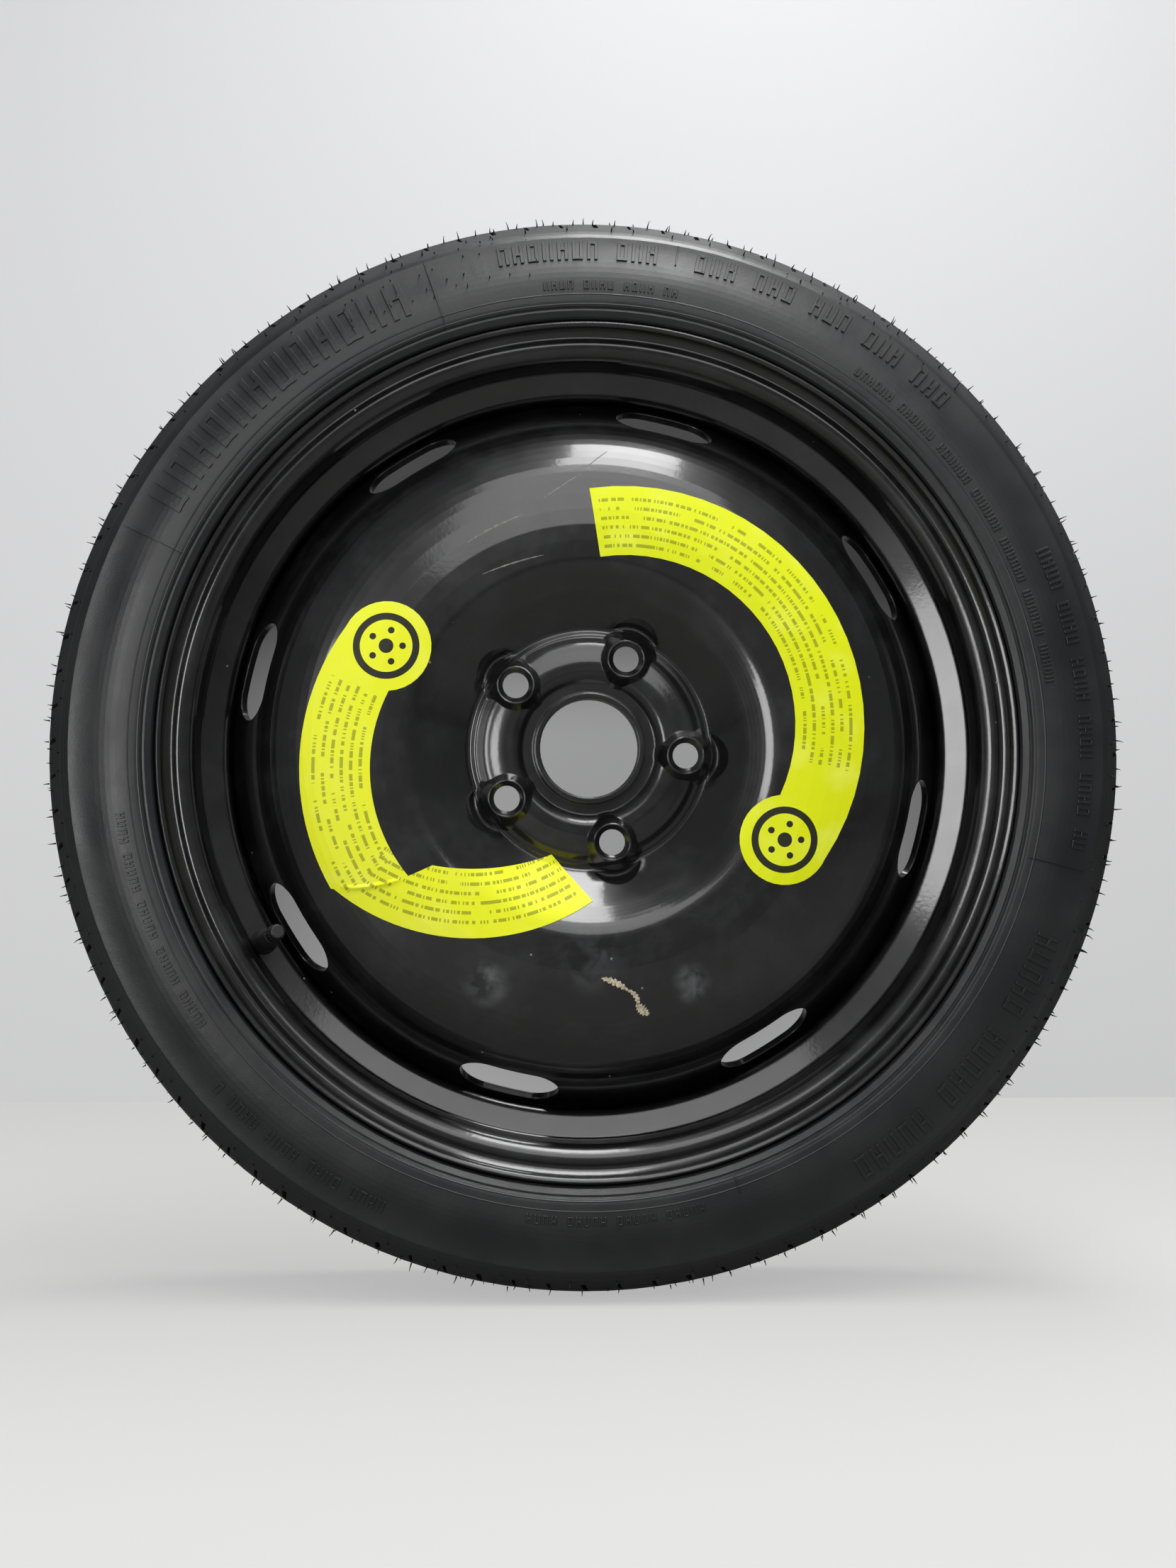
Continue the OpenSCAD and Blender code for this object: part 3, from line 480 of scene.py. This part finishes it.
def makeStrokes():
    deselectAll()
    bpy.ops.mesh.primitive_grid_add(x_subdivisions=1, y_subdivisions=6, size=1)
    first = bpy.context.object
    marks = []
    for middle, high, wide, pitch, begin, end, word in strokeLook["bands"]:
        count = int(abs(begin - end) * math.pi / 180 * middle / pitch)
        for i in range(count):
            if i % (word + 1) < word:
                angle = begin + (end - begin) * (i + 0.5) / count
                half = math.degrees(pitch * strokeLook["fill"] / middle) / 2
                marks.append((middle, high, wide, angle + half * strokeLook["apart"]))
                marks.append((middle, high, wide, angle - half * strokeLook["apart"]))
                barLong = pitch * strokeLook["fill"] * strokeLook["barLong"]
                for bar in strokeLook["bars"][(i * 7 + word) % len(strokeLook["bars"])]:
                    marks.append((middle + bar * high, wide * strokeLook["barWide"], barLong, angle))
    for low, top, angle in strokeLook["ridges"]:
        marks.append(((low + top) / 2, top - low, strokeLook["ridgeWide"], angle))
    copies = []
    for middle, high, wide, angle in marks:
        copy = copyOf(first)
        turn = Matrix.Rotation(math.radians(angle - 90), 4, "Z")
        copy.data.transform(turn @ Matrix.Translation((0, middle * mm, 0))
                            @ Matrix.Diagonal((wide * mm, high * mm, 1, 1)))
        copies.append(copy)
    strokes = joinCopies("sidewall_strokes", first, copies, rubber)
    dropOn(strokes, nodes["tyre"], strokeLook["sink"])
    wall = strokes.modifiers.new("wall", "SOLIDIFY")
    wall.thickness = strokeLook["high"]
    wall.offset = 1
    soft = strokes.modifiers.new("soft", "BEVEL")
    soft.width = strokeLook["edge"]
    soft.segments = 1
    applyModifiers(strokes)
    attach(strokes, "wheel")
    print("strokes:", len(marks), "marks,", len(strokes.data.polygons), "faces")


makeStrokes()

# rubber hairs that the mould's air holes leave on the shoulders and the tread
hairLook = {
    "long": (1.8 * mm, 5.0 * mm), "thick": 0.4 * mm, "bow": 0.35, "sway": 0.25, "seed": 11,
    # radius of the root, place along the axle from the rim's middle, lean to the side, how many
    "rows": [(308.5, 45, 40, 150), (303.0, 53, 60, 90), (313.2, 30, 12, 110), (314.6, 8, 0, 90),
             (314.5, -12, 0, 60), (308.5, -45, -40, 90), (303.0, -53, -60, 40)],
    # more of them stand on the outer wall, most of all near the top: radius, first and last angle
    "stubs": [(299, 97, 128), (292, 102, 126), (281, 104, 122), (276, 96, 120), (298, 40, 70),
              (297, -40, -10)],
    "stubGap": 2.4, "stubLean": 84,
    # the outer wall stands out most at this radius, by this much, and falls away from there
    "bulgeAt": 279, "bulge": 61.5, "fall": 0.011,
    # the rim's middle in the part's own depth, and the height below which no hair may reach
    "rimMiddle": 35, "floor": -0.3135,
}


def makeHairs():
    chance = random.Random(hairLook["seed"])
    deselectAll()
    bpy.ops.mesh.primitive_cylinder_add(vertices=5, radius=1, depth=1, end_fill_type="TRIFAN")
    first = bpy.context.object
    bpy.ops.object.mode_set(mode="EDIT")
    bpy.ops.mesh.select_all(action="SELECT")
    bpy.ops.mesh.bisect(plane_co=(0, 0, 0), plane_no=(0, 0, 1))
    bpy.ops.object.mode_set(mode="OBJECT")
    roots = [(root, along, lean, 360 * (i + chance.uniform(-0.35, 0.35)) / count)
             for root, along, lean, count in hairLook["rows"] for i in range(count)]
    for root, begin, end in hairLook["stubs"]:
        out = hairLook["bulge"] - hairLook["fall"] * (root - hairLook["bulgeAt"]) ** 2
        roots += [(root + chance.uniform(-2, 2), out, hairLook["stubLean"],
                   begin + hairLook["stubGap"] * (i + chance.random()))
                  for i in range(int((end - begin) / hairLook["stubGap"]))]
    copies = []
    for root, along, lean, angle in roots:
        long = chance.uniform(*hairLook["long"])
        bow = chance.uniform(-hairLook["bow"], hairLook["bow"])
        side = chance.uniform(-hairLook["sway"], hairLook["sway"])
        tip = math.sin(math.radians(angle)) * (root * mm + long)
        if tip < hairLook["floor"]:
            continue
        copy = copyOf(first)
        for v in copy.data.vertices:
            t = v.co.z + 0.5
            thick = hairLook["thick"] * (1.3 - 0.95 * t)
            v.co = Vector((v.co.x * thick + bow * long * t * t, v.co.y * thick + side * long * t * t,
                           (t - 0.12) * long))
        # out along the radius, then leaned towards the side of the tyre
        place = (Matrix.Rotation(math.radians(angle), 4, "Z")
                 @ Matrix.Translation((root * mm, 0, (along - hairLook["rimMiddle"]) * mm))
                 @ Matrix.Rotation(math.radians(90 - lean), 4, "Y"))
        copy.data.transform(upright @ place)
        copies.append(copy)
    hairs = joinCopies("mould_hairs", first, copies, rubber)
    bpy.ops.object.shade_smooth()
    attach(hairs, "wheel")
    print("hairs:", len(copies))


makeHairs()

# scratches and scrapes on the disc, each from one end to the other, in millimetres of its face
scratchLook = {
    "colour": "#8d8a84", "cover": 0.8, "scrape": "#c9bda0", "scrapeCover": 1.0,
    "cuts": 28, "lift": 0.05 * mm, "grain": 1.2 * mm, "roughness": 0.6,
    # name, first end, last end, bow, width
    "marks": [
        ("scratch_a", (-70.5, 116.9), (-39.1, 133.2), 1.1, 1.0),
        ("scratch_b", (-26.9, 142.9), (-4.7, 158.1), 0.5, 0.8),
        ("scratch_c", (-1.4, 162.4), (10.2, 172.2), 0.3, 0.6),
        ("scratch_d", (-61.9, 98.6), (-26.9, 109.9), 0.9, 0.8),
    ],
    "scrapes": [
        ("scrape_a", (6.0, -131.6), (21.0, -138.5), 1.0, 3.4),
        ("scrape_b", (20.2, -137.9), (27.0, -148.5), 2.4, 2.6),
        ("scrape_c", (26.0, -146.0), (33.0, -152.5), -0.5, 4.6),
    ],
}


def makeMark(name, begin, end, bow, wide, material):
    deselectAll()
    bpy.ops.mesh.primitive_grid_add(x_subdivisions=scratchLook["cuts"], y_subdivisions=2, size=1)
    mark = bpy.context.object
    mark.name = name
    start, way = Vector(begin), Vector(end) - Vector(begin)
    side = Vector((-way.y, way.x)).normalized()
    for v in mark.data.vertices:
        t = v.co.x + 0.5
        taper = math.sin(math.pi * min(max(t, 0.04), 0.96)) ** 0.5
        ragged = 1 + 0.3 * math.sin(37 * t + wide) + 0.2 * math.sin(91 * t)
        across = v.co.y * wide * taper * ragged + bow * 4 * t * (1 - t)
        spot = start + way * t + side * across
        v.co = Vector((spot.x * mm, spot.y * mm, 0))
    dropOn(mark, nodes["wheel_disc"], scratchLook["lift"])
    applyModifiers(mark)
    mark.data.materials.append(material)
    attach(mark, "wheel")


def makeScratchFinish(name, colour, cover):
    material, tree, shader, place = newMaterial(name)
    grain = addNode(tree, "ShaderNodeTexNoise",
                    {"Vector": place, "Scale": 1 / scratchLook["grain"], "Detail": 4.0})
    shade = addNode(tree, "ShaderNodeMapRange",
                    {"Value": grain.outputs["Fac"], "From Min": 0.35, "From Max": 0.65,
                     "To Min": cover * 0.4, "To Max": cover})
    mix = addNode(tree, "ShaderNodeMixRGB",
                  {"Fac": shade.outputs[0], "Color1": hexColour(paintLook["skin"]),
                   "Color2": hexColour(colour)})
    tree.links.new(mix.outputs[0], shader.inputs["Base Color"])
    shader.inputs["Roughness"].default_value = scratchLook["roughness"]
    return material


# thin scratches let the grey primer through the black, and the broad scrapes bare the pale filler
scratch = makeScratchFinish("scratchedPaint", scratchLook["colour"], scratchLook["cover"])
scrape = makeScratchFinish("scrapedFiller", scratchLook["scrape"], scratchLook["scrapeCover"])
for name, begin, end, bow, wide in scratchLook["marks"]:
    makeMark(name, begin, end, bow, wide, scratch)
for name, begin, end, bow, wide in scratchLook["scrapes"]:
    makeMark(name, begin, end, bow, wide, scrape)
print("wear:", len(scratchLook["marks"]) + len(scratchLook["scrapes"]), "marks on the disc")

# the left label was laid down crooked, and its film stands up in a crease at the turn
creaseLook = {
    "path": [(-142.5, -80.6), (-134.0, -81.2), (-125.8, -80.4), (-115.0, -78.6), (-106.5, -76.0)],
    "wide": 5.0, "high": 1.4, "cuts": 40, "lift": 0.03 * mm,
    # where the fold's top lies across the strip, and how far its foot is from there
    "fold": 0.12, "foot": 0.5,
}


def makeCrease():
    deselectAll()
    bpy.ops.mesh.primitive_grid_add(x_subdivisions=creaseLook["cuts"], y_subdivisions=8, size=1)
    crease = bpy.context.object
    crease.name = "label_crease"
    path = [Vector(p) for p in creaseLook["path"]]
    lifts = []
    for v in crease.data.vertices:
        t = (v.co.x + 0.5) * (len(path) - 1)
        i = min(int(t), len(path) - 2)
        way = path[i + 1] - path[i]
        spot = path[i] + way * (t - i)
        side = Vector((-way.y, way.x)).normalized()
        end = math.sin(math.pi * (v.co.x + 0.5)) ** 0.6
        spot += side * v.co.y * creaseLook["wide"]
        fold = max(0.0, 1 - abs(v.co.y - creaseLook["fold"]) / creaseLook["foot"])
        lifts.append(creaseLook["high"] * mm * end * fold ** 1.6)
        v.co = Vector((spot.x * mm, spot.y * mm, 0))
    dropOn(crease, nodes["label_left"], creaseLook["lift"])
    applyModifiers(crease)
    for v, lift in zip(crease.data.vertices, lifts):
        v.co.y -= lift
    deselectAll()
    crease.select_set(True)
    bpy.context.view_layer.objects.active = crease
    bpy.ops.object.shade_smooth()
    crease.data.materials.append(leftLabel)
    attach(crease, "wheel")
    print("crease:", len(crease.data.polygons), "faces")


makeCrease()

# pale boards for the floor and the wall, with a shade painted on the wall behind the wheel
stageLook = {
    "floor": -0.3155, "wall": 1.02, "wide": 8, "floorColour": "#858583", "wallColour": "#979799",
    # how much brightness each board has by itself where it is seen, and the share of that in mirrors
    "floorGlow": 0.45, "wallGlow": 0.40, "mirrorGlow": 0.2,
    # the share of each board's own colour that the gloss mirrors; the rest is painted shade in the
    # reflections
    "floorMirror": 0.75, "wallMirror": 0.35, "roughness": 0.9,
    # a soft shade painted on the wall behind the wheel: its middle, where it ends and where it is full
    "shadeAt": (0.05, 0.06), "shadeWide": (0.58, 0.40),
    # how the painted shade deepens from the middle outwards, upwards and sideways: from, to, and what it
    # leaves
    "shadeLow": (0.62, 0.30, 0.48), "shadeHigh": (0.06, 0.26, 0.16), "shadeSide": (0.20, 0.42, 0.35),
}


def makeBoard(name, colour, glow, mirror):
    deselectAll()
    bpy.ops.mesh.primitive_plane_add(size=stageLook["wide"])
    board = bpy.context.object
    board.name = name
    material, tree, shader, place = newMaterial(name)
    shader.inputs["Base Color"].default_value = hexColour(colour)
    shader.inputs["Roughness"].default_value = stageLook["roughness"]
    shader.inputs["Specular IOR Level"].default_value = 0.0
    path = addNode(tree, "ShaderNodeLightPath")
    mirrored = addNode(tree, "ShaderNodeMath",
                       {0: path.outputs["Is Glossy Ray"], 1: stageLook["mirrorGlow"]}, operation="MULTIPLY")
    seen = addNode(tree, "ShaderNodeMath",
                   {0: path.outputs["Is Camera Ray"], 1: mirrored.outputs[0]}, operation="MAXIMUM")
    seen = addNode(tree, "ShaderNodeMath",
                   {0: seen.outputs[0], 1: path.outputs["Is Transmission Ray"]}, operation="MAXIMUM")
    own = addNode(tree, "ShaderNodeMath", {0: seen.outputs[0], 1: glow}, operation="MULTIPLY")
    shader.inputs["Emission Color"].default_value = (1.0, 1.0, 1.0, 1.0)
    tree.links.new(own.outputs[0], shader.inputs["Emission Strength"])
    # what the gloss mirrors of each board is darker than the board itself: painted shade in its reflections
    # on the wheel
    mirroredShade = addNode(tree, "ShaderNodeMapRange",
                   {"Value": path.outputs["Is Glossy Ray"], "To Min": 1.0, "To Max": mirror})
    board.data.materials.append(material)
    return board, tree, shader, place, mirroredShade.outputs[0]


# darkens a board's colour and glow by the given share: painted shade
def shadeBoard(tree, shader, share):  # what is left of the board's own colour and glow
    for socket in ("Base Color", "Emission Color"):
        full = shader.inputs[socket].default_value[:3]
        darker = addNode(tree, "ShaderNodeVectorMath", {0: full, "Scale": share}, operation="SCALE")
        tree.links.new(darker.outputs[0], shader.inputs[socket])


def makeStage():
    floor, tree, shader, place, mirroredShade = makeBoard(
        "paleFloor", stageLook["floorColour"], stageLook["floorGlow"], stageLook["floorMirror"])
    shadeBoard(tree, shader, mirroredShade)
    floor.data.transform(Matrix.Translation((0, 0, stageLook["floor"])))
    wall, tree, shader, place, mirroredShade = makeBoard(
        "paleWall", stageLook["wallColour"], stageLook["wallGlow"], stageLook["wallMirror"])
    middleHigh = stageLook["floor"] + stageLook["wide"] / 2
    wall.data.transform(Matrix.Translation((0, stageLook["wall"], middleHigh)) @ upright)
    # a shade painted into the wall's colour and glow behind the wheel, darkest at its top and sides
    middle = (stageLook["shadeAt"][0], stageLook["wall"], stageLook["shadeAt"][1])
    away = addNode(tree, "ShaderNodeVectorMath", {0: place, 1: middle}, operation="DISTANCE")
    axes = addNode(tree, "ShaderNodeSeparateXYZ", {0: place})
    offset = addNode(tree, "ShaderNodeMath", {0: axes.outputs["X"], 1: stageLook["shadeAt"][0]},
                     operation="SUBTRACT")
    offset = addNode(tree, "ShaderNodeMath", {0: offset.outputs[0]}, operation="ABSOLUTE")
    share = None
    for value, (begin, end, left) in ((away.outputs["Value"], stageLook["shadeLow"]),
                                      (axes.outputs["Z"], stageLook["shadeHigh"]),
                                      (offset.outputs[0], stageLook["shadeSide"])):
        part = addNode(tree, "ShaderNodeMapRange",
                       {"Value": value, "From Min": begin, "From Max": end, "To Min": 1.0, "To Max": left},
                       interpolation_type="SMOOTHSTEP")
        share = part if share is None else addNode(
            tree, "ShaderNodeMath", {0: share.outputs[0], 1: part.outputs[0]}, operation="MULTIPLY")
    inside = addNode(tree, "ShaderNodeMapRange",
                     {"Value": away.outputs["Value"], "From Min": stageLook["shadeWide"][0],
                      "From Max": stageLook["shadeWide"][1]}, interpolation_type="SMOOTHSTEP")
    kept = addNode(tree, "ShaderNodeMapRange",
                   {"Value": inside.outputs[0], "To Min": 1.0, "To Max": share.outputs[0]})
    kept = addNode(tree, "ShaderNodeMath", {0: kept.outputs[0], 1: mirroredShade}, operation="MULTIPLY")
    shadeBoard(tree, shader, kept.outputs[0])
    # from behind the wall is left out of sight, so that the wheel's back can be seen
    side = addNode(tree, "ShaderNodeNewGeometry")
    path = addNode(tree, "ShaderNodeLightPath")
    behind = addNode(tree, "ShaderNodeMath",
                     {0: side.outputs["Backfacing"], 1: path.outputs["Is Camera Ray"]},
                     operation="MULTIPLY")
    clear = addNode(tree, "ShaderNodeBsdfTransparent")
    oneSided = addNode(tree, "ShaderNodeMixShader",
                       {0: behind.outputs[0], 1: shader.outputs[0], 2: clear.outputs[0]})
    tree.links.new(oneSided.outputs[0], tree.nodes["Material Output"].inputs["Surface"])
    print("stage: floor and wall")


makeStage()

# soft lamps: a long one overhead, two that carry it on towards the front, and a window at the left
lampLook = {
    "ceiling": {"size": (0.55, 1.5), "place": (0.25, -0.05, 1.5), "aim": (0.25, -0.05, 0), "power": 31},
    "ceilingFront": {"size": (0.6, 0.45), "place": (0.22, -1.03, 1.48), "aim": (0.22, -0.9, 0), "power": 9},
    "ceilingEdge": {"size": (1.3, 1.2), "place": (0.15, -1.6, 1.1), "aim": (0, 0, 0), "power": 12},
    "leftWindow": {"size": (0.6, 0.85), "place": (-1.0, -1.75, 0.1), "aim": (0, 0, 0), "power": 14},
}
for name, lamp in lampLook.items():
    light = bpy.data.lights.new(name, "AREA")
    light.shape = "RECTANGLE"
    light.size, light.size_y = lamp["size"]
    light.energy = lamp["power"]
    holder = bpy.data.objects.new(name, light)
    bpy.context.collection.objects.link(holder)
    holder.location = lamp["place"]
    holder.visible_camera = False
    way = Vector(lamp["aim"]) - Vector(lamp["place"])
    holder.rotation_euler = way.to_track_quat("-Z", "Y").to_euler()

room = bpy.data.worlds.new("room")
bpy.context.scene.world = room
room.use_nodes = True
# seen straight it is as pale as the wall, and what it gives the wheel is dimmer
roomLook = {"seen": "#dcdcde", "given": "#7b7c7e"}
background = room.node_tree.nodes["Background"]
path = addNode(room.node_tree, "ShaderNodeLightPath")
straight = addNode(room.node_tree, "ShaderNodeMixRGB",
                   {"Fac": path.outputs["Is Camera Ray"], "Color1": hexColour(roomLook["given"]),
                    "Color2": hexColour(roomLook["seen"])})
room.node_tree.links.new(straight.outputs[0], background.inputs["Color"])
background.inputs["Strength"].default_value = 1.0
print("lamps:", len(lampLook))

# the photograph's camera: place in metres, pitch and yaw in degrees, lens and film in millimetres
view = {
    "place": (-0.0585, -1.1905, -0.071), "pitch": 3.72, "yaw": -2.37,
    "lens": 47.0, "film": 36, "shift": (0.00972, -0.02939),
}
cameraData = bpy.data.cameras.new("photoCamera")
camera = bpy.data.objects.new("photoCamera", cameraData)
bpy.context.collection.objects.link(camera)
camera.location = view["place"]
camera.rotation_euler = (math.radians(90 + view["pitch"]), 0, math.radians(view["yaw"]))
cameraData.sensor_fit = "VERTICAL"
cameraData.sensor_height = view["film"]
cameraData.lens = view["lens"]
cameraData.shift_x, cameraData.shift_y = view["shift"]
bpy.context.scene.camera = camera
bpy.context.scene.view_settings.view_transform = "Standard"
